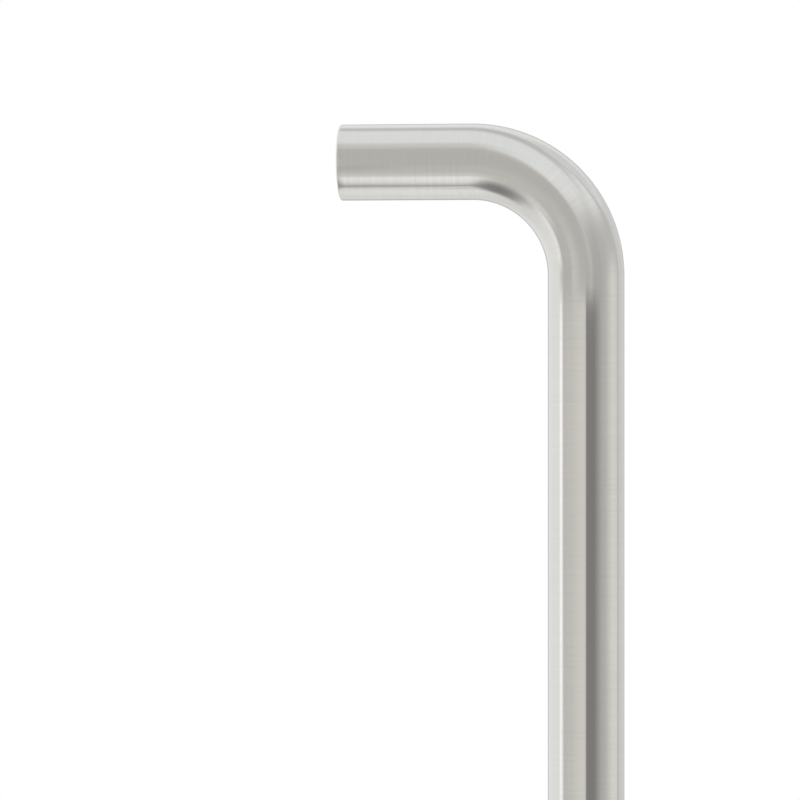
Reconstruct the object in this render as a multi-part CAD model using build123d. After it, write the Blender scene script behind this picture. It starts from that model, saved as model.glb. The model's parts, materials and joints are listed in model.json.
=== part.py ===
from build123d import *

import math
import os

# A D pull handle for a door: one round stainless tube, bent square at both ends, with a tapped plug in each foot.
# Units are millimetres. The origin is midway between the two fixing centres, in the plane where the feet meet
# the door. +X points out of the door towards the hand, +Z runs up the grip, and Y is across the tube.

# Driving dimensions of the tube
tube_diameter = 19.0
wall_thickness = 1.5
fixing_centres = 300.0  # between the axes of the two arms
projection = 71.0  # from the door to the outermost line of the grip
bend_radius = 28.5  # on the centre line: one and a half diameters
foot_edge_round = 0.6  # broken outer edge of each sawn foot

# Driving dimensions of the plugs that close the feet
plug_length = 16.0  # two thread diameters of engagement
plug_slip = 0.02  # radial gap between a plug and the bore of the tube
plug_edge_break = 0.25  # small chamfer round the outer face, which leaves a fine joint line
plug_lead_in = 1.0  # chamfer that starts a plug into the bore

# Driving dimensions of the tapped hole in each plug
thread_diameter = 8.0  # nominal size of the fixing bolt
tap_drill_diameter = 6.8  # hole that the tap follows, which is the crest of the thread
countersink_margin = 0.2  # mouth of the countersink over the nominal thread
countersink_angle = 120.0  # included angle

# Sizes that follow from them
tube_radius = tube_diameter / 2
bore_radius = tube_radius - wall_thickness
grip_x = projection - tube_radius
arm_z = fixing_centres / 2
plug_radius = bore_radius - plug_slip
tap_drill_radius = tap_drill_diameter / 2
countersink_radius = (thread_diameter + countersink_margin) / 2
countersink_depth = (countersink_radius - tap_drill_radius) / math.tan(math.radians(countersink_angle / 2))


def centre_line():
    """The line that the tube is bent to: out from the upper foot, down the grip, back to the lower foot."""
    corners = [(0, 0, arm_z), (grip_x, 0, arm_z), (grip_x, 0, -arm_z), (0, 0, -arm_z)]
    return FilletPolyline(*corners, radius=bend_radius)


def foot_rims(tube):
    """The outer edges of the two sawn ends, which lie in the plane of the door."""
    ends = tube.faces().filter_by(Plane.YZ)
    return [end.outer_wire().edge() for end in ends]


def make_bent_tube():
    """The tube: its ring section swept along the centre line, with the sawn edges broken."""
    line = centre_line()
    ring = Circle(tube_radius) - Circle(bore_radius)
    tube = sweep(Plane(origin=line @ 0, z_dir=line % 0) * ring, path=line)
    return fillet(foot_rims(tube), foot_edge_round)


def make_plug(arm_height):
    """A turned plug, flush with its foot: drilled through, countersunk for the bolt and led in at the back."""
    half_section = Polyline(
        (0, countersink_radius),
        (0, plug_radius - plug_edge_break),
        (plug_edge_break, plug_radius),
        (plug_length - plug_lead_in, plug_radius),
        (plug_length, plug_radius - plug_lead_in),
        (plug_length, tap_drill_radius),
        (countersink_depth, tap_drill_radius),
        close=True,
    )
    turned = revolve(Plane.XZ * make_face(half_section), axis=Axis.X)
    return Pos(0, 0, arm_height) * turned


pieces = {
    "bent_tube": make_bent_tube(),
    "upper_threaded_plug": make_plug(arm_z),
    "lower_threaded_plug": make_plug(-arm_z),
}

os.makedirs("parts", exist_ok=True)
for name, piece in pieces.items():
    export_step(piece, f"parts/{name}.step")
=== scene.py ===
"""Looks of a D pull handle: a satin stainless tube bent to a D, and the turned, tapped plugs in its feet."""

import json
import logging
import math
from dataclasses import dataclass
from enum import Enum
from typing import Any

import bpy
from mathutils import Euler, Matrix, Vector


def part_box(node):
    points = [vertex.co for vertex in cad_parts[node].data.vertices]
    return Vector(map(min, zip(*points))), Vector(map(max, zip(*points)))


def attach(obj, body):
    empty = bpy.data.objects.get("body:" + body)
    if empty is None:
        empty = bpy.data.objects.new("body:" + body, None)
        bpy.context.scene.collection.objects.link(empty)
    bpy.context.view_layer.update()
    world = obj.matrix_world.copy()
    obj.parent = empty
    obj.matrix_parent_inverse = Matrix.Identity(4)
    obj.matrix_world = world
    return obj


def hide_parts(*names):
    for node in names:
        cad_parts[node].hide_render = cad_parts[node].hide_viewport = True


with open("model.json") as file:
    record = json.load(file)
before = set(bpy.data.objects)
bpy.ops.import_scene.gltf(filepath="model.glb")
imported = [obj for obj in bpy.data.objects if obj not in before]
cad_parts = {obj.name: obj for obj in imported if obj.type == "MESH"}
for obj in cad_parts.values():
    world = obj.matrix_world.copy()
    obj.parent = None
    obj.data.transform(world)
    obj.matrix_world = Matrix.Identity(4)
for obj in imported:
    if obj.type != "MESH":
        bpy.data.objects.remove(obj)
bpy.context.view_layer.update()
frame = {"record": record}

MM = 0.001  # metres
CLOSE = 0.001 * MM  # points nearer than this are one point
FULL_TURN = 2 * math.pi
PLUG_SLIP = 0.02 * MM  # between a plug and the bore that it is let into
UP = (0.0, 0.0, 1.0)
SIDEWAYS = (0.0, 1.0, 0.0)  # across the plane that the handle is bent in
ROUND_MAP = "round_map"  # U is the distance along a piece, in metres, and V the share of a turn round it
MARK_DETAIL = 2.0  # finer layers within a mark
MARK_FALLOFF = 0.6  # strength of each layer against the one before
MARK_RANGE = (0.25, 0.75)  # most of the marks' noise lies between these
MIX_A, MIX_B, MIX_RESULT = 6, 7, 2  # a Mix node's colour sockets, whose names its other sockets have too
BODY = "root"
NEUTRAL = "#FFFFFF"
WARM = "#FFFDF8"
COOL = "#FBFEFF"

log = logging.getLogger("d_pull_handle")


def linear(hex_colour: str) -> tuple[float, float, float, float]:
    """Turns an sRGB hex colour to the linear colour that the shaders take.

    Args:
        hex_colour: A colour such as "#DAD8D4".

    Returns:
        Linear red, green, blue and an alpha of 1.
    """
    parts = [int(hex_colour[i:i + 2], 16) / 255 for i in (1, 3, 5)]
    bent = [c / 12.92 if c <= 0.04045 else ((c + 0.055) / 1.055) ** 2.4 for c in parts]
    return (*bent, 1.0)


def lit(hex_colour: str, level: float) -> tuple[float, float, float, float]:
    """Scales a hex colour by a brightness, in linear light."""
    return (*(part * level for part in linear(hex_colour)[:3]), 1.0)


def add(tree: bpy.types.NodeTree, kind: str, inputs: dict | None = None, **settings: Any) -> bpy.types.Node:
    """Adds a node to a tree with its settings, and links or sets its inputs.

    Args:
        tree: The tree that gets the node.
        kind: Blender's name for the type of node.
        inputs: Input names or numbers, each with a constant, a socket, or a node whose first output is meant.
        settings: Properties of the node, such as operation.

    Returns:
        The new node.
    """
    node = tree.nodes.new(kind)
    for name, value in settings.items():
        setattr(node, name, value)
    for key, value in (inputs or {}).items():
        source = value.outputs[0] if isinstance(value, bpy.types.Node) else value
        if isinstance(source, bpy.types.NodeSocket):
            tree.links.new(source, node.inputs[key])
        else:
            node.inputs[key].default_value = source
    return node


def new_material(name: str) -> tuple[bpy.types.Material, bpy.types.NodeTree]:
    """Makes an empty node material.

    Args:
        name: The material's name.

    Returns:
        The material and its node tree.
    """
    material = bpy.data.materials.new(name)
    material.use_nodes = True
    material.node_tree.nodes.clear()
    return material, material.node_tree


class Foot(Enum):
    """The two feet of the handle, each with the side of the middle that it is on."""

    UPPER = 1
    LOWER = -1


class PatchShape(Enum):
    """The outlines that a patch of the light tent can have."""

    BOX = "box"
    OVAL = "oval"


@dataclass(frozen=True)
class RoundFinish:
    """A metal with marks that run round a piece, drawn on the piece's own map.

    The marks shift the metal from its light colour to its dark one, swing its roughness, and stand in low
    relief.
    """

    light: str
    dark: str
    roughness: float
    roughness_swing: float
    anisotropy: float
    mark_mm: float
    mark_length_mm: float
    mark_depth_mm: float
    mark_relief: float

    def marks(
        self, tree: bpy.types.NodeTree, step_mm: float, length_mm: float, radius: float,
    ) -> bpy.types.Node:
        """Draws marks that lie round the piece, with no seam where the turn closes.

        Args:
            tree: The material's node tree.
            step_mm: The distance from mark to mark along the piece.
            length_mm: The length of a mark round the piece.
            radius: The radius of the piece, in metres.

        Returns:
            The noise that gives the marks, from 0 to 1.
        """
        place = add(tree, "ShaderNodeSeparateXYZ", {0: add(tree, "ShaderNodeUVMap", uv_map=ROUND_MAP)})
        angle = add(tree, "ShaderNodeMath", {0: place.outputs["Y"], 1: FULL_TURN}, operation="MULTIPLY")
        ring = add(tree, "ShaderNodeCombineXYZ", {
            "X": place.outputs["X"],
            "Y": add(tree, "ShaderNodeMath", {0: angle}, operation="COSINE"),
            "Z": add(tree, "ShaderNodeMath", {0: angle}, operation="SINE"),
        })
        marks_round = radius / (length_mm * MM)
        drawn_out = add(tree, "ShaderNodeMapping", {
            "Vector": ring, "Scale": (1 / (step_mm * MM), marks_round, marks_round),
        })
        return add(tree, "ShaderNodeTexNoise", {
            "Vector": drawn_out, "Scale": 1.0, "Detail": MARK_DETAIL, "Roughness": MARK_FALLOFF,
        })

    def dress(self, tree: bpy.types.NodeTree, marks: bpy.types.Node, tone: bpy.types.Node) -> None:
        """Adds the metal itself to a material.

        Args:
            tree: The material's node tree.
            marks: The marks that show in the shine and the relief, from 0 to 1.
            tone: The share of the dark colour, from 0 to 1.
        """
        shade = add(tree, "ShaderNodeMix", {
            "Factor": tone, MIX_A: linear(self.light), MIX_B: linear(self.dark),
        }, data_type="RGBA")
        shine = add(tree, "ShaderNodeMapRange", {
            "Value": marks, "From Min": MARK_RANGE[0], "From Max": MARK_RANGE[1],
            "To Min": self.roughness - self.roughness_swing, "To Max": self.roughness + self.roughness_swing,
        })
        relief = add(tree, "ShaderNodeBump", {
            "Height": marks, "Strength": self.mark_relief, "Distance": self.mark_depth_mm * MM,
        })
        run = add(tree, "ShaderNodeTangent", direction_type="UV_MAP", uv_map=ROUND_MAP)
        metal = add(tree, "ShaderNodeBsdfPrincipled", {
            "Base Color": shade.outputs[MIX_RESULT], "Metallic": 1.0, "Roughness": shine,
            "Anisotropic": self.anisotropy, "Tangent": run, "Normal": relief,
        })
        add(tree, "ShaderNodeOutputMaterial", {"Surface": metal})


@dataclass(frozen=True)
class SatinStainless(RoundFinish):
    """Austenitic stainless tube, belt-polished round its girth to a satin."""

    # The belt's scratches lie round the tube. They spread a reflection along the tube and keep it fairly
    # crisp across, so that the eye reads long soft-edged bands of a faintly warm grey, with a fine grain
    # across them.
    light: str = "#E0DFDC"
    dark: str = "#D4D3D0"
    roughness: float = 0.17
    roughness_swing: float = 0.025
    anisotropy: float = 0.75
    mark_mm: float = 0.4  # the belt's grit is about 0.1 mm: drawn coarser, so that it shows
    mark_length_mm: float = 14.0
    mark_depth_mm: float = 0.004
    mark_relief: float = 0.1
    mark_share: float = 0.6  # of the change of tone: the rest is from pass to pass
    pass_mm: float = 26.0  # width of one pass of the belt

    def material(self, radius: float) -> bpy.types.Material:
        """Builds the satin finish.

        Args:
            radius: The radius of the tube, in metres.

        Returns:
            The material.
        """
        material, tree = new_material("stainless_belt_polished_satin")
        scratches = self.marks(tree, self.mark_mm, self.mark_length_mm, radius)
        passes = self.marks(tree, self.pass_mm, self.pass_mm, radius)
        tone = add(tree, "ShaderNodeMix", {"Factor": self.mark_share, "A": passes, "B": scratches})
        self.dress(tree, scratches, tone)
        return material


@dataclass(frozen=True)
class TurnedSteel(RoundFinish):
    """Free-cutting stainless bar, faced and turned on a lathe and then tapped."""

    # The tool's feed leaves fine rings round the axis. They give the face a soft sheen that fans out from the
    # hole and turns as the eye moves, duller and a little darker than the polished tube round it.
    light: str = "#CECCC8"
    dark: str = "#C2C0BC"
    roughness: float = 0.34
    roughness_swing: float = 0.06
    anisotropy: float = 0.5
    mark_mm: float = 0.3  # a finishing feed is about 0.1 mm: drawn coarser, so that it shows
    mark_length_mm: float = 30.0
    mark_depth_mm: float = 0.01
    mark_relief: float = 0.3

    def material(self, radius: float) -> bpy.types.Material:
        """Builds the turned finish.

        Args:
            radius: The radius of the plug, in metres.

        Returns:
            The material.
        """
        material, tree = new_material("stainless_lathe_turned")
        rings = self.marks(tree, self.mark_mm, self.mark_length_mm, radius)
        self.dress(tree, rings, rings)
        return material


class RoundRule:
    """A Geometry Nodes tree that carries a flat section round a line, run once and kept as a plain mesh.

    In the section, X is the distance along the line and Y the distance from it. Once the section is carried
    round, each point knows its own places: along and out in the section, run along the section's edge, and
    turn, the share of a turn.
    """

    def __init__(self, name: str) -> None:
        """Starts an empty tree.

        Args:
            name: The tree's name.
        """
        self.tree = bpy.data.node_groups.new(name, "GeometryNodeTree")
        self.entry = self.tree.nodes.new("NodeGroupInput")
        self.values: dict[str, Any] = {}
        self.places = {
            place: add(self.tree, "GeometryNodeInputNamedAttribute", {"Name": place}, data_type="FLOAT")
            for place in ("along", "out", "run", "turn")
        }

    def size(self, name: str, value: Any) -> bpy.types.NodeSocket:
        """Adds a named input.

        Args:
            name: What the input is called in the tree.
            value: A length in metres, a whole number, or a material.

        Returns:
            The socket that gives the input inside the tree.
        """
        kinds = {int: "NodeSocketInt", float: "NodeSocketFloat", bpy.types.Material: "NodeSocketMaterial"}
        socket = self.tree.interface.new_socket(name, in_out="INPUT", socket_type=kinds[type(value)])
        self.values[socket.identifier] = value
        return self.entry.outputs[name]

    def polyline(self, corners: list[tuple[Any, Any, Any]]) -> bpy.types.Node:
        """Makes a curve of straight runs.

        Args:
            corners: The x, y and z of each corner, as numbers, sockets or nodes.

        Returns:
            The node that gives the curve.
        """
        tree = self.tree
        chain = add(tree, "GeometryNodeMeshLine", {"Count": len(corners)})
        number = add(tree, "GeometryNodeInputIndex")
        place = add(tree, "GeometryNodeIndexSwitch", {"Index": number}, data_type="VECTOR")
        for _ in corners[2:]:  # the switch has two items at first
            place.index_switch_items.new()
        for item, (x, y, z) in enumerate(corners, start=1):
            corner = add(tree, "ShaderNodeCombineXYZ", {"X": x, "Y": y, "Z": z})
            tree.links.new(corner.outputs[0], place.inputs[item])
        set_out = add(tree, "GeometryNodeSetPosition", {"Geometry": chain, "Position": place})
        return add(tree, "GeometryNodeMeshToCurve", {"Mesh": set_out})

    def divided(self, section: bpy.types.Node, hole: Any, hole_step: Any, outer_step: Any) -> bpy.types.Node:
        """Cuts the straight runs of a section into steps.

        Args:
            section: The node that gives the section.
            hole: The radius of the hole through the piece.
            hole_step: The length of a step along the hole.
            outer_step: The length of a step elsewhere.

        Returns:
            The node that gives the section with its cuts.
        """
        tree = self.tree
        here = add(tree, "GeometryNodeInputPosition")
        number = add(tree, "GeometryNodeInputIndex")
        following = add(tree, "ShaderNodeMath", {0: number, 1: 1.0}, operation="ADD")
        there = add(tree, "GeometryNodeFieldAtIndex", {
            "Value": here, "Index": following,
        }, data_type="FLOAT_VECTOR")
        run = add(tree, "ShaderNodeVectorMath", {0: here, 1: there}, operation="DISTANCE")
        place = add(tree, "ShaderNodeSeparateXYZ", {0: here})
        outside = add(tree, "FunctionNodeCompare", {0: place.outputs["Y"], 1: hole}, operation="GREATER_THAN")
        step = add(tree, "GeometryNodeSwitch", {
            "Switch": outside, "False": hole_step, "True": outer_step,
        }, input_type="FLOAT")
        cuts = add(tree, "ShaderNodeMath", {0: run.outputs["Value"], 1: step}, operation="DIVIDE")
        return add(tree, "GeometryNodeSubdivideCurve", {"Curve": section, "Cuts": cuts})

    def carried(self, section: bpy.types.Node, sides: Any) -> bpy.types.Node:
        """Carries the section once round, as a sheet that isn't rolled up yet, with its places and its map.

        Args:
            section: The node that gives the section.
            sides: The number of steps in a turn.

        Returns:
            The node that gives the sheet.
        """
        tree = self.tree
        place = add(tree, "ShaderNodeSeparateXYZ", {0: add(tree, "GeometryNodeInputPosition")})
        spline = add(tree, "GeometryNodeSplineParameter")
        kept = section
        for name, value in (
            ("along", place.outputs["X"]), ("out", place.outputs["Y"]), ("run", spline.outputs["Length"]),
        ):
            kept = add(tree, "GeometryNodeStoreNamedAttribute", {
                "Geometry": kept, "Name": name, "Value": value,
            }, data_type="FLOAT", domain="POINT")
        points = add(tree, "ShaderNodeMath", {0: sides, 1: 1.0}, operation="ADD")
        chain = add(tree, "GeometryNodeMeshLine", {"Count": points})
        girth = add(tree, "GeometryNodeStoreNamedAttribute", {
            "Geometry": add(tree, "GeometryNodeMeshToCurve", {"Mesh": chain}),
            "Name": "turn", "Value": spline.outputs["Factor"],
        }, data_type="FLOAT", domain="POINT")
        sheet = add(tree, "GeometryNodeCurveToMesh", {"Curve": kept, "Profile Curve": girth})
        spot = add(tree, "ShaderNodeCombineXYZ", {"X": self.places["run"], "Y": self.places["turn"]})
        return add(tree, "GeometryNodeStoreNamedAttribute", {
            "Geometry": sheet, "Name": ROUND_MAP, "Value": spot,
        }, data_type="FLOAT2", domain="CORNER")

    def rolled(self, sheet: bpy.types.Node, centre: Any, outward: Any, reach: Any) -> bpy.types.Node:
        """Rolls the sheet up round its line, closes it and turns its faces outward.

        Args:
            sheet: The node that gives the sheet.
            centre: The point on the line that a point of the sheet belongs to.
            outward: The direction away from the line where a turn starts.
            reach: The distance from the line.

        Returns:
            The node that gives the closed piece.
        """
        tree = self.tree
        angle = add(tree, "ShaderNodeMath", {0: self.places["turn"], 1: FULL_TURN}, operation="MULTIPLY")
        cosine = add(tree, "ShaderNodeMath", {0: angle}, operation="COSINE")
        sine = add(tree, "ShaderNodeMath", {0: angle}, operation="SINE")
        in_plane = add(tree, "ShaderNodeVectorMath", {0: outward, "Scale": cosine}, operation="SCALE")
        across = add(tree, "ShaderNodeVectorMath", {0: SIDEWAYS, "Scale": sine}, operation="SCALE")
        spoke = add(tree, "ShaderNodeVectorMath", {0: in_plane, 1: across}, operation="ADD")
        offset = add(tree, "ShaderNodeVectorMath", {0: spoke, "Scale": reach}, operation="SCALE")
        place = add(tree, "ShaderNodeVectorMath", {0: centre, 1: offset}, operation="ADD")
        rolled = add(tree, "GeometryNodeSetPosition", {"Geometry": sheet, "Position": place})
        closed = add(tree, "GeometryNodeMergeByDistance", {"Geometry": rolled, "Distance": CLOSE})
        bare = add(tree, "GeometryNodeFlipFaces", {"Mesh": closed})
        for name in self.places:
            bare = add(tree, "GeometryNodeRemoveAttribute", {"Geometry": bare, "Name": name})
        return bare

    def run(self, geometry: bpy.types.Node, finish: bpy.types.Material, name: str) -> bpy.types.Object:
        """Closes the tree, evaluates it and keeps the result as a mesh of its own.

        Args:
            geometry: The node whose first output is the finished shape.
            finish: The material that the shape wears.
            name: The name of the new object.

        Returns:
            The object, at the origin, with no modifier.
        """
        plain = add(self.tree, "GeometryNodeRealizeInstances", {"Geometry": geometry})
        dressed = add(self.tree, "GeometryNodeSetMaterial", {
            "Geometry": plain, "Material": self.size("Finish", finish),
        })
        self.tree.interface.new_socket("Geometry", in_out="OUTPUT", socket_type="NodeSocketGeometry")
        add(self.tree, "NodeGroupOutput", {0: dressed})
        piece = bpy.data.objects.new(name, bpy.data.meshes.new(name + "_start"))
        bpy.context.scene.collection.objects.link(piece)
        modifier = piece.modifiers.new(self.tree.name, "NODES")
        modifier.node_group = self.tree
        for identifier, value in self.values.items():
            modifier[identifier] = value
        evaluated = piece.evaluated_get(bpy.context.evaluated_depsgraph_get())
        mesh = bpy.data.meshes.new_from_object(evaluated)
        piece.modifiers.remove(modifier)
        mesh.name = name
        piece.data = mesh
        return piece


def seat(piece: bpy.types.Object, node: str, sharp_degrees: float) -> None:
    """Smooths a piece up to its sharp edges, and puts it in the place of its CAD node.

    Args:
        piece: The finished piece.
        node: The CAD node that the piece stands for.
        sharp_degrees: The angle between faces from which an edge stays sharp.
    """
    piece.data.shade_smooth()
    piece.data.set_sharp_from_angle(angle=math.radians(sharp_degrees))
    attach(piece, BODY)
    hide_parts(node)


@dataclass
class BentTube:
    """The tube of the handle: a drawn ring section laid along a centre line with two right-angle bends."""

    finish: bpy.types.Material
    radius: float
    fixing_centres: float
    grip_x: float
    wall: float = 1.5 * MM
    bend_radius: float = 28.5 * MM
    foot_round: float = 0.6 * MM
    skin_step: float = 1.4 * MM
    bore_step: float = 3.0 * MM
    sides: int = 112
    bend_points: int = 90
    foot_points: int = 8
    sharp_degrees: float = 40.0

    def centre_line(self, rule: RoundRule) -> bpy.types.Node:
        """Makes the line that the tube is bent to, from the upper foot round to the lower foot.

        Args:
            rule: The tree that gets the nodes.

        Returns:
            The node that gives the filleted curve.
        """
        tree = rule.tree
        reach = rule.size("Grip Distance", self.grip_x)
        centres = rule.size("Fixing Centres", self.fixing_centres)
        top = add(tree, "ShaderNodeMath", {0: centres, 1: 0.5}, operation="MULTIPLY")
        bottom = add(tree, "ShaderNodeMath", {0: top, 1: -1.0}, operation="MULTIPLY")
        square = rule.polyline([
            (0.0, 0.0, top), (reach, 0.0, top), (reach, 0.0, bottom), (0.0, 0.0, bottom),
        ])
        return add(tree, "GeometryNodeFilletCurve", {
            "Curve": square, "Radius": rule.size("Bend Radius", self.bend_radius),
            "Count": rule.size("Bend Points", self.bend_points),
        }, mode="POLY")

    def section(self, rule: RoundRule, length: bpy.types.Node) -> bpy.types.Node:
        """Makes the section of the tube's wall, with the outer edges of its two ends rounded.

        Args:
            rule: The tree that gets the nodes.
            length: The node that gives the tube's length on its centre line.

        Returns:
            The node that gives the section.
        """
        tree = rule.tree
        skin = rule.size("Outer Radius", self.radius)
        bore = add(tree, "ShaderNodeMath", {0: skin, 1: rule.size("Wall", self.wall)}, operation="SUBTRACT")
        square = rule.polyline([
            (0.0, bore, 0.0), (0.0, skin, 0.0), (length, skin, 0.0), (length, bore, 0.0), (0.0, bore, 0.0),
        ])
        place = add(tree, "ShaderNodeSeparateXYZ", {0: add(tree, "GeometryNodeInputPosition")})
        on_skin = add(tree, "FunctionNodeCompare", {0: place.outputs["Y"], 1: bore}, operation="GREATER_THAN")
        rounding = add(tree, "ShaderNodeMath", {
            0: on_skin, 1: rule.size("Foot Round", self.foot_round),
        }, operation="MULTIPLY")
        rounded = add(tree, "GeometryNodeFilletCurve", {
            "Curve": square, "Radius": rounding, "Count": rule.size("Foot Points", self.foot_points),
        }, mode="POLY")
        return rule.divided(
            rounded, bore, rule.size("Bore Step", self.bore_step), rule.size("Skin Step", self.skin_step),
        )

    def build(self) -> bpy.types.Object:
        """Builds the tube's skin, rims and bore as one closed mesh.

        Returns:
            The tube, dressed in its finish.
        """
        rule = RoundRule("tube_bent_to_a_line")
        tree = rule.tree
        line = self.centre_line(rule)
        length = add(tree, "GeometryNodeCurveLength", {"Curve": line})
        sheet = rule.carried(self.section(rule, length), rule.size("Sides", self.sides))
        sample = add(tree, "GeometryNodeSampleCurve", {
            "Curves": line, "Length": rule.places["along"],
        }, mode="LENGTH")
        outward = add(tree, "ShaderNodeVectorMath", {
            0: sample.outputs["Tangent"], 1: SIDEWAYS,
        }, operation="CROSS_PRODUCT")
        tube = rule.rolled(sheet, sample.outputs["Position"], outward, rule.places["out"])
        piece = rule.run(tube, self.finish, "satin_tube")
        seat(piece, "bent_tube", self.sharp_degrees)
        return piece


@dataclass
class ThreadedPlug:
    """The turned plug in one foot, flush with the tube's end and with a right-hand thread cut through it."""

    foot: Foot
    finish: bpy.types.Material
    fixing_centres: float
    length: float
    radius: float
    crest_radius: float
    edge_break: float = 0.25 * MM
    lead_in: float = 1.0 * MM
    thread_radius: float = 4.0 * MM
    mouth_radius: float = 4.1 * MM
    mouth_degrees: float = 120.0
    pitch: float = 1.25 * MM
    crest_flat: float = 1 / 4  # of the pitch
    root_flat: float = 1 / 8
    steps_per_pitch: int = 16
    face_step: float = 4.0 * MM
    sides: int = 64
    sharp_degrees: float = 28.0

    def section(
        self, rule: RoundRule, crest: bpy.types.NodeSocket, mouth: bpy.types.NodeSocket,
    ) -> bpy.types.Node:
        """Makes the section of the plug, with its hole still at the radius of the thread's crest.

        Args:
            rule: The tree that gets the nodes.
            crest: The radius of the thread's crest.
            mouth: The radius of the countersink at the face.

        Returns:
            The node that gives the section.
        """
        tree = rule.tree
        skin = rule.size("Outer Radius", self.radius)
        back = rule.size("Length", self.length)
        edge = rule.size("Edge Break", self.edge_break)
        lead = rule.size("Lead In", self.lead_in)
        face_edge = add(tree, "ShaderNodeMath", {0: skin, 1: edge}, operation="SUBTRACT")
        back_edge = add(tree, "ShaderNodeMath", {0: skin, 1: lead}, operation="SUBTRACT")
        lead_start = add(tree, "ShaderNodeMath", {0: back, 1: lead}, operation="SUBTRACT")
        outline = rule.polyline([
            (0.0, mouth, 0.0), (0.0, face_edge, 0.0), (edge, skin, 0.0), (lead_start, skin, 0.0),
            (back, back_edge, 0.0), (back, crest, 0.0), (0.0, crest, 0.0),
        ])
        return rule.divided(
            outline, crest, rule.size("Thread Step", self.pitch / self.steps_per_pitch),
            rule.size("Face Step", self.face_step),
        )

    def reach(
        self, rule: RoundRule, crest: bpy.types.NodeSocket, mouth: bpy.types.NodeSocket,
    ) -> bpy.types.Node:
        """Gives each point its distance from the axis, with the thread and its countersink cut in the hole.

        Args:
            rule: The tree that gets the nodes.
            crest: The radius of the thread's crest.
            mouth: The radius of the countersink at the face.

        Returns:
            The node that gives the distance.
        """
        tree = rule.tree
        along, out = rule.places["along"], rule.places["out"]
        root = rule.size("Thread Radius", self.thread_radius)
        pitch = rule.size("Pitch", self.pitch)
        pitches = add(tree, "ShaderNodeMath", {0: along, 1: pitch}, operation="DIVIDE")
        helix = add(tree, "ShaderNodeMath", {0: pitches, 1: rule.places["turn"]}, operation="ADD")
        share = add(tree, "ShaderNodeMath", {0: helix}, operation="FRACT")
        from_root = add(tree, "ShaderNodeMath", {0: share, 1: 0.5}, operation="SUBTRACT")
        swing = add(tree, "ShaderNodeMath", {0: from_root}, operation="ABSOLUTE")
        thread = add(tree, "ShaderNodeMapRange", {
            "Value": swing, "From Min": self.crest_flat / 2, "From Max": 0.5 - self.root_flat / 2,
            "To Min": crest, "To Max": root,
        })
        slope = math.tan(math.radians(self.mouth_degrees / 2))
        countersink = add(tree, "ShaderNodeMath", {0: along, 1: -slope, 2: mouth}, operation="MULTIPLY_ADD")
        tapped = add(tree, "ShaderNodeMath", {0: thread, 1: countersink}, operation="MAXIMUM")
        in_hole = add(tree, "FunctionNodeCompare", {0: out, 1: root}, operation="LESS_THAN")
        return add(tree, "GeometryNodeSwitch", {
            "Switch": in_hole, "False": out, "True": tapped,
        }, input_type="FLOAT")

    def build(self) -> bpy.types.Object:
        """Builds the plug as one closed mesh.

        Returns:
            The plug, dressed in its finish.
        """
        side = self.foot.name.lower()
        rule = RoundRule(f"{side}_plug_turned_and_tapped")
        crest = rule.size("Crest Radius", self.crest_radius)
        mouth = rule.size("Mouth Radius", self.mouth_radius)
        sheet = rule.carried(self.section(rule, crest, mouth), rule.size("Sides", self.sides))
        height = rule.size("Arm Height", self.foot.value * self.fixing_centres / 2)
        centre = add(rule.tree, "ShaderNodeCombineXYZ", {"X": rule.places["along"], "Z": height})
        plug = rule.rolled(sheet, centre, UP, self.reach(rule, crest, mouth))
        piece = rule.run(plug, self.finish, f"{side}_turned_plug")
        seat(piece, f"{side}_threaded_plug", self.sharp_degrees)
        return piece


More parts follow.
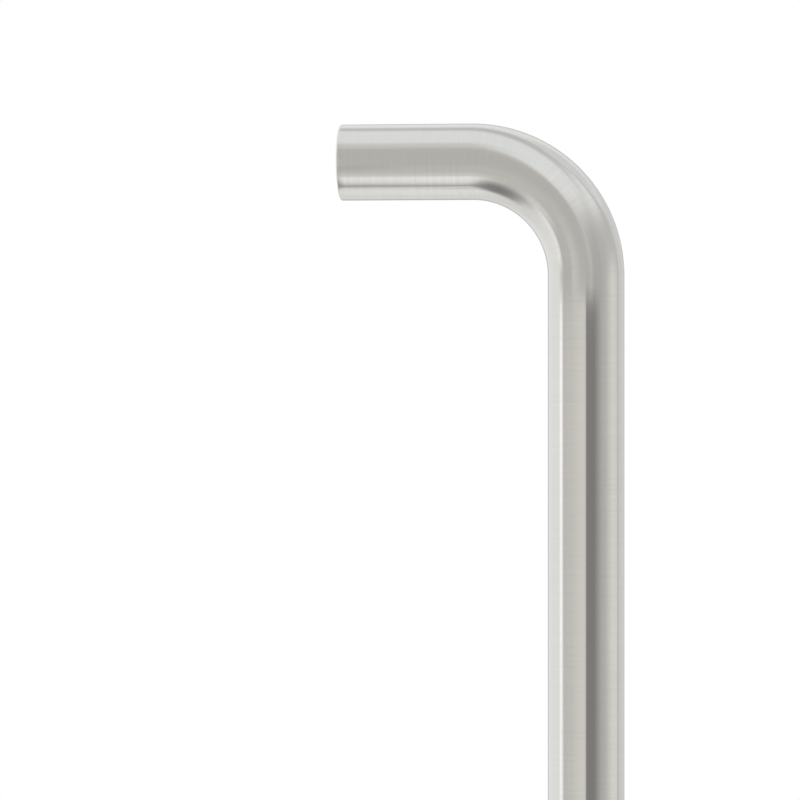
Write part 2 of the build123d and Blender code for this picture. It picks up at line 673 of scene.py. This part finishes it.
@dataclass(frozen=True)
class TentPatch:
    """A patch of the light tent, placed by the direction in which the handle sees it.

    All places and sizes are pairs of degrees, sideways and upwards. The middle is counted from the camera to
    the right and from the horizon up, half gives the half sizes, and soft the half width of the blurred edge.
    An oval has one edge, as soft as the first of the pair. roll turns the patch about its middle, in degrees,
    and level is its brightness, where 1 is white.
    """

    shape: PatchShape
    middle: tuple[float, float]
    half: tuple[float, float]
    soft: tuple[float, float]
    level: float
    tint: str = NEUTRAL
    roll: float = 0.0

    def paint(self, tree: bpy.types.NodeTree, facing: float, before: Any) -> bpy.types.NodeSocket:
        """Paints the patch over what the tent shows so far.

        Args:
            tree: The world's node tree.
            facing: The camera's azimuth, in degrees.
            before: The colour so far, or the socket that gives it.

        Returns:
            The socket that gives the colour with the patch.
        """
        turn, rise = self.middle
        # Local +Y is the way to the middle of the patch
        angles = [math.radians(angle) for angle in (rise, self.roll, facing + turn - 180)]
        local = add(tree, "ShaderNodeVectorRotate", {
            "Vector": add(tree, "ShaderNodeTexCoord").outputs["Generated"],
            "Rotation": Euler(angles, "YXZ").to_matrix().to_euler("XYZ"),
        }, rotation_type="EULER_XYZ", invert=True)
        way = add(tree, "ShaderNodeSeparateXYZ", {0: local})
        sideways = add(tree, "ShaderNodeMath", {
            0: way.outputs["X"], 1: way.outputs["Y"],
        }, operation="ARCTAN2")
        upwards = add(tree, "ShaderNodeMath", {0: way.outputs["Z"]}, operation="ARCSINE")
        shares = []
        for angle, half in zip((sideways, upwards), self.half):
            size = add(tree, "ShaderNodeMath", {0: angle}, operation="ABSOLUTE")
            shares.append(add(tree, "ShaderNodeMath", {0: size, 1: math.radians(half)}, operation="DIVIDE"))
        if self.shape is PatchShape.OVAL:
            pair = add(tree, "ShaderNodeCombineXYZ", {0: shares[0], 1: shares[1]})
            reach = add(tree, "ShaderNodeVectorMath", {0: pair}, operation="LENGTH").outputs["Value"]
            edges = [(reach, self.soft[0] / min(self.half))]
        else:
            edges = [(share, soft / half) for share, soft, half in zip(shares, self.soft, self.half)]
        cover = 1.0
        for reach, soft in edges:
            inside = add(tree, "ShaderNodeMapRange", {
                "Value": reach, "From Min": 1 - soft, "From Max": 1 + soft, "To Min": 1.0, "To Max": 0.0,
            }, interpolation_type="SMOOTHSTEP")
            cover = add(tree, "ShaderNodeMath", {0: cover, 1: inside}, operation="MULTIPLY")
        return add(tree, "ShaderNodeMix", {
            "Factor": cover, MIX_A: before, MIX_B: lit(self.tint, self.level),
        }, data_type="RGBA").outputs[MIX_RESULT]


@dataclass
class LightTent:
    """A white light tent with a few grey patches, and the pale floor that the handle stands over."""

    facing: float
    patches: tuple[TentPatch, ...]
    fill: float = 0.66
    floor_colour: str = "#F3F2EF"
    floor_size: float = 6.0
    floor_gap: float = 0.2 * MM
    clear_from: float = 0.35  # metres from the handle at which the floor starts to clear to white
    clear_to: float = 0.9
    lamp_power: float = 11.0
    lamp_size: float = 0.9
    lamp_place: tuple[float, float, float] = (-0.55, -0.9, 1.25)

    def light_world(self) -> None:
        """Lights the world: white to the camera, patches to what mirrors it, and a plain fill to the rest."""
        world = bpy.data.worlds.new("light_tent")
        world.use_nodes = True
        bpy.context.scene.world = world
        tree = world.node_tree
        tree.nodes.clear()
        white = linear(NEUTRAL)
        seen = white
        for patch in self.patches:
            seen = patch.paint(tree, self.facing, seen)
        path = add(tree, "ShaderNodeLightPath")
        colour = add(tree, "ShaderNodeMix", {
            "Factor": path.outputs["Is Glossy Ray"], MIX_A: white, MIX_B: seen,
        }, data_type="RGBA").outputs[MIX_RESULT]
        direct = add(tree, "ShaderNodeMath", {
            0: path.outputs["Is Camera Ray"], 1: path.outputs["Is Glossy Ray"],
        }, operation="ADD")
        plain = add(tree, "ShaderNodeMath", {
            0: direct, 1: path.outputs["Is Transmission Ray"],
        }, operation="ADD", use_clamp=True)
        level = add(tree, "ShaderNodeMapRange", {"Value": plain, "To Min": self.fill, "To Max": 1.0})
        sky = add(tree, "ShaderNodeBackground", {"Color": colour, "Strength": level})
        add(tree, "ShaderNodeOutputWorld", {"Surface": sky})

    def hang_lamp(self) -> None:
        """Hangs one large soft lamp, which only gives the floor its shadow."""
        data = bpy.data.lights.new("soft_overhead", "AREA")
        data.shape = "SQUARE"
        data.size = self.lamp_size
        data.energy = self.lamp_power
        lamp = bpy.data.objects.new("soft_overhead", data)
        lamp.location = self.lamp_place
        lamp.rotation_mode = "QUATERNION"
        lamp.rotation_quaternion = (-Vector(self.lamp_place)).to_track_quat("-Z", "Y")
        lamp.visible_glossy = False
        bpy.context.scene.collection.objects.link(lamp)

    def lay_floor(self, height: float) -> None:
        """Lays a pale floor that clears to plain white away from the handle.

        Args:
            height: The floor's height, in metres.
        """
        half = self.floor_size / 2
        corners = [(-half, -half, height), (half, -half, height), (half, half, height), (-half, half, height)]
        mesh = bpy.data.meshes.new("pale_floor")
        mesh.from_pydata(corners, [], [(0, 1, 2, 3)])
        material, tree = new_material("pale_matt_board")
        place = add(tree, "ShaderNodeTexCoord").outputs["Object"]
        away = add(tree, "ShaderNodeVectorMath", {0: place}, operation="LENGTH")
        clear = add(tree, "ShaderNodeMapRange", {
            "Value": away.outputs["Value"], "From Min": self.clear_from, "From Max": self.clear_to,
        }, interpolation_type="SMOOTHSTEP")
        board = add(tree, "ShaderNodeBsdfDiffuse", {"Color": linear(self.floor_colour)})
        white = add(tree, "ShaderNodeEmission", {"Color": linear(NEUTRAL), "Strength": 1.0})
        mixed = add(tree, "ShaderNodeMixShader", {0: clear, 1: board, 2: white})
        add(tree, "ShaderNodeOutputMaterial", {"Surface": mixed})
        mesh.materials.append(material)
        floor = bpy.data.objects.new("pale_floor", mesh)
        floor.visible_glossy = False
        bpy.context.scene.collection.objects.link(floor)


@dataclass
class GripCard:
    """A card that stands near the grip, so that its reflection keeps to one stretch of the tube.

    turn is the angle from the camera to the middle of the card, in degrees to the right, as the grip sees it.
    The card's brightness goes from the first of its levels, on its left, to the second one between the two
    shares of its width in ramp.
    """

    name: str
    turn: float
    width: float
    low_z: float
    high_z: float
    levels: tuple[float, float]
    ramp: tuple[float, float]
    distance: float = 45.0 * MM
    tint: str = WARM
    map_name: str = "card_width"

    def stand(self, facing: float, grip_x: float) -> None:
        """Stands the card where only reflections see it.

        Args:
            facing: The camera's azimuth, in degrees.
            grip_x: The distance of the grip's axis from the door.
        """
        way = math.radians(facing + self.turn)
        middle = Vector((grip_x + self.distance * math.sin(way), -self.distance * math.cos(way), 0.0))
        half = Vector((math.cos(way), math.sin(way), 0.0)) * self.width / 2
        low, high = (Vector((0.0, 0.0, z)) for z in (self.low_z, self.high_z))
        corners = [middle - half + low, middle + half + low, middle + half + high, middle - half + high]
        mesh = bpy.data.meshes.new(self.name)
        mesh.from_pydata(corners, [], [(0, 1, 2, 3)])
        layer = mesh.uv_layers.new(name=self.map_name)
        layer.uv.foreach_set("vector", [0.0, 0.0, 1.0, 0.0, 1.0, 1.0, 0.0, 1.0])
        material, tree = new_material(self.name)
        place = add(tree, "ShaderNodeSeparateXYZ", {0: add(tree, "ShaderNodeUVMap", uv_map=self.map_name)})
        level = add(tree, "ShaderNodeMapRange", {
            "Value": place.outputs["X"], "From Min": self.ramp[0], "From Max": self.ramp[1],
            "To Min": self.levels[0], "To Max": self.levels[1],
        })
        glow = add(tree, "ShaderNodeEmission", {"Color": linear(self.tint), "Strength": level})
        add(tree, "ShaderNodeOutputMaterial", {"Surface": glow})
        mesh.materials.append(material)
        card = bpy.data.objects.new(self.name, mesh)
        card.visible_camera = False
        card.visible_diffuse = False
        card.visible_shadow = False
        bpy.context.scene.collection.objects.link(card)


@dataclass
class PhotoCamera:
    """A level camera that sees the handle as the photograph does.

    The pixel values are places in the photograph's square frame: the grip's axis, the upper arm's axis, and
    the width of the tube.
    """

    tube_radius: float
    grip_x: float
    arm_z: float
    azimuth: float = 7.0
    distance: float = 1.0
    frame_px: int = 800
    grip_axis_px: float = 586.1
    arm_axis_px: float = 160.9
    tube_px: float = 76.5
    sensor_mm: float = 36.0
    clip_start: float = 0.05

    def place(self) -> None:
        """Places the camera and makes it the scene's own."""
        turn = math.radians(self.azimuth)
        back = Vector((math.sin(turn), -math.cos(turn), 0.0))
        right = Vector((math.cos(turn), math.sin(turn), 0.0))
        px_per_metre = self.tube_px / (2 * self.tube_radius)
        middle = self.frame_px / 2
        left_of_grip = (self.grip_axis_px - middle) / px_per_metre
        below_arm = (middle - self.arm_axis_px) / px_per_metre
        data = bpy.data.cameras.new("photo_camera")
        data.sensor_width = self.sensor_mm
        data.lens = self.sensor_mm * px_per_metre * self.distance / self.frame_px
        data.clip_start = self.clip_start
        camera = bpy.data.objects.new("photo_camera", data)
        corner = Vector((self.grip_x, 0.0, self.arm_z))
        camera.location = corner + back * self.distance - right * left_of_grip - Vector((0.0, 0.0, below_arm))
        camera.rotation_mode = "QUATERNION"
        camera.rotation_quaternion = (-back).to_track_quat("-Z", "Y")
        bpy.context.scene.collection.objects.link(camera)
        bpy.context.scene.camera = camera


TENT = (
    # The bright edge of the front, and the slit to the left of it
    TentPatch(PatchShape.OVAL, (-42, 0), (47, 54), (4, 4), 1.08),
    TentPatch(PatchShape.BOX, (-84.5, 8.5), (3.5, 16), (2.5, 3), 1.42),
    # The roof, and the right wall, which has grey stretches and is darkest near the camera
    TentPatch(PatchShape.OVAL, (20, 68), (60, 30), (8, 8), 1.0, COOL),
    TentPatch(PatchShape.BOX, (110, -20), (80, 46), (5, 5), 0.91, WARM),
    TentPatch(PatchShape.BOX, (148, 0), (42, 26), (5, 5), 0.79),
    TentPatch(PatchShape.BOX, (82, 18), (30, 11), (6, 6), 0.64, roll=8),
    TentPatch(PatchShape.OVAL, (98, 7), (6, 5), (4, 4), 0.72),
    TentPatch(PatchShape.BOX, (31, -15.75), (36, 35.25), (20, 6), 0.55, roll=20),
    # A fold in the right wall, the shade beside it, and the seam over the back
    TentPatch(PatchShape.BOX, (109, 0), (4.5, 62), (3, 3), 0.66, roll=9),
    TentPatch(PatchShape.OVAL, (127, 46), (15, 15), (6, 6), 0.82),
    TentPatch(PatchShape.OVAL, (138, 72), (40, 8.5), (5, 5), 0.68, COOL),
    # The unlit front itself, uneven and darkest at its lower left, and the light that comes in round it
    TentPatch(PatchShape.OVAL, (-35.5, 5), (41.5, 48.4), (3, 3), 0.62, WARM),
    TentPatch(PatchShape.OVAL, (-26, -28), (22, 17), (8, 8), 0.685, WARM),
    TentPatch(PatchShape.OVAL, (-24, 47), (13, 8), (6, 6), 0.76, WARM),
    TentPatch(PatchShape.OVAL, (-12, -42), (14, 5), (4, 4), 0.8, WARM),
    TentPatch(PatchShape.OVAL, (-62, -56), (20, 18), (9, 9), 0.48, WARM),
    TentPatch(PatchShape.BOX, (-8, -60), (12, 12), (2.5, 2.5), 1.12),
    TentPatch(PatchShape.OVAL, (-48, 1), (24, 10.5), (5, 5), 0.75, WARM),
    TentPatch(PatchShape.OVAL, (-57, -29), (9, 9), (5, 5), 0.88, WARM),
    TentPatch(PatchShape.OVAL, (12, 4), (6, 6), (4, 4), 0.7, WARM),
    # The gap where the tent meets the table, in front and to the left, and the shade beside it
    TentPatch(PatchShape.BOX, (0, -81.5), (40, 3.2), (1.5, 1.5), 0.6),
    TentPatch(PatchShape.OVAL, (-135, -45), (35, 18), (12, 12), 0.88),
    TentPatch(PatchShape.OVAL, (-100, -55), (10, 8), (5, 5), 0.68),
    TentPatch(PatchShape.OVAL, (-76, -64), (17, 14), (7, 7), 0.265),
    # The back of the tent, which is grey round its own slit
    TentPatch(PatchShape.OVAL, (180, 0), (24, 26), (6, 6), 0.62),
    TentPatch(PatchShape.BOX, (172, -8), (6, 18), (4, 4), 0.3),
)

CARDS = (
    # The two bands along the grip
    GripCard(
        "pale_card", turn=-20.6, width=27.9 * MM, low_z=-117.0 * MM, high_z=117.0 * MM,
        levels=(0.775, 0.83), ramp=(0.1, 0.6),
    ),
    GripCard(
        "black_card", turn=19.25, width=37.9 * MM, low_z=-116.5 * MM, high_z=116.5 * MM,
        levels=(0.275, 0.595), ramp=(0.5, 1.0),
    ),
    # What dims the bright line where the upper bend starts
    GripCard(
        "grey_flag", turn=-64.9, width=69.2 * MM, low_z=119.0 * MM, high_z=137.0 * MM,
        levels=(0.76, 0.6), ramp=(0.0, 0.2), distance=90.0 * MM,
    ),
)


def main() -> None:
    """Builds the handle's pieces in order, then the tent, the floor and the camera."""
    logging.basicConfig(level=logging.INFO, format="%(name)s: %(message)s")
    bpy.context.scene.view_settings.view_transform = "Standard"
    holes = next(mount["dims"] for mount in frame["record"]["mounts"] if mount["name"] == "fixing_holes")
    fixing_centres = holes["spacing_y_mm"] * MM
    arm_z = fixing_centres / 2
    tube_low, tube_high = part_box("bent_tube")
    tube_radius = tube_high.z - arm_z
    satin = SatinStainless().material(tube_radius)
    tube = BentTube(satin, tube_radius, fixing_centres, grip_x=tube_high.x - tube_radius)
    pieces = [tube.build()]
    plug_radius = tube.radius - tube.wall - PLUG_SLIP
    turned = TurnedSteel().material(plug_radius)
    for foot in Foot:
        plug_low, plug_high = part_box(f"{foot.name.lower()}_threaded_plug")
        plug = ThreadedPlug(
            foot, turned, fixing_centres, plug_high.x - plug_low.x, plug_radius, holes["hole_r_mm"] * MM,
        )
        pieces.append(plug.build())
    for piece in pieces:
        log.info("%s: %d faces", piece.name, len(piece.data.polygons))
    camera = PhotoCamera(tube_radius, tube.grip_x, arm_z)
    camera.place()
    tent = LightTent(camera.azimuth, TENT)
    tent.light_world()
    tent.hang_lamp()
    tent.lay_floor(tube_low.z - tent.floor_gap)
    for card in CARDS:
        card.stand(camera.azimuth, tube.grip_x)
    log.info("tent: %d patches, %d cards", len(TENT), len(CARDS))


if __name__ == "__main__":
    main()
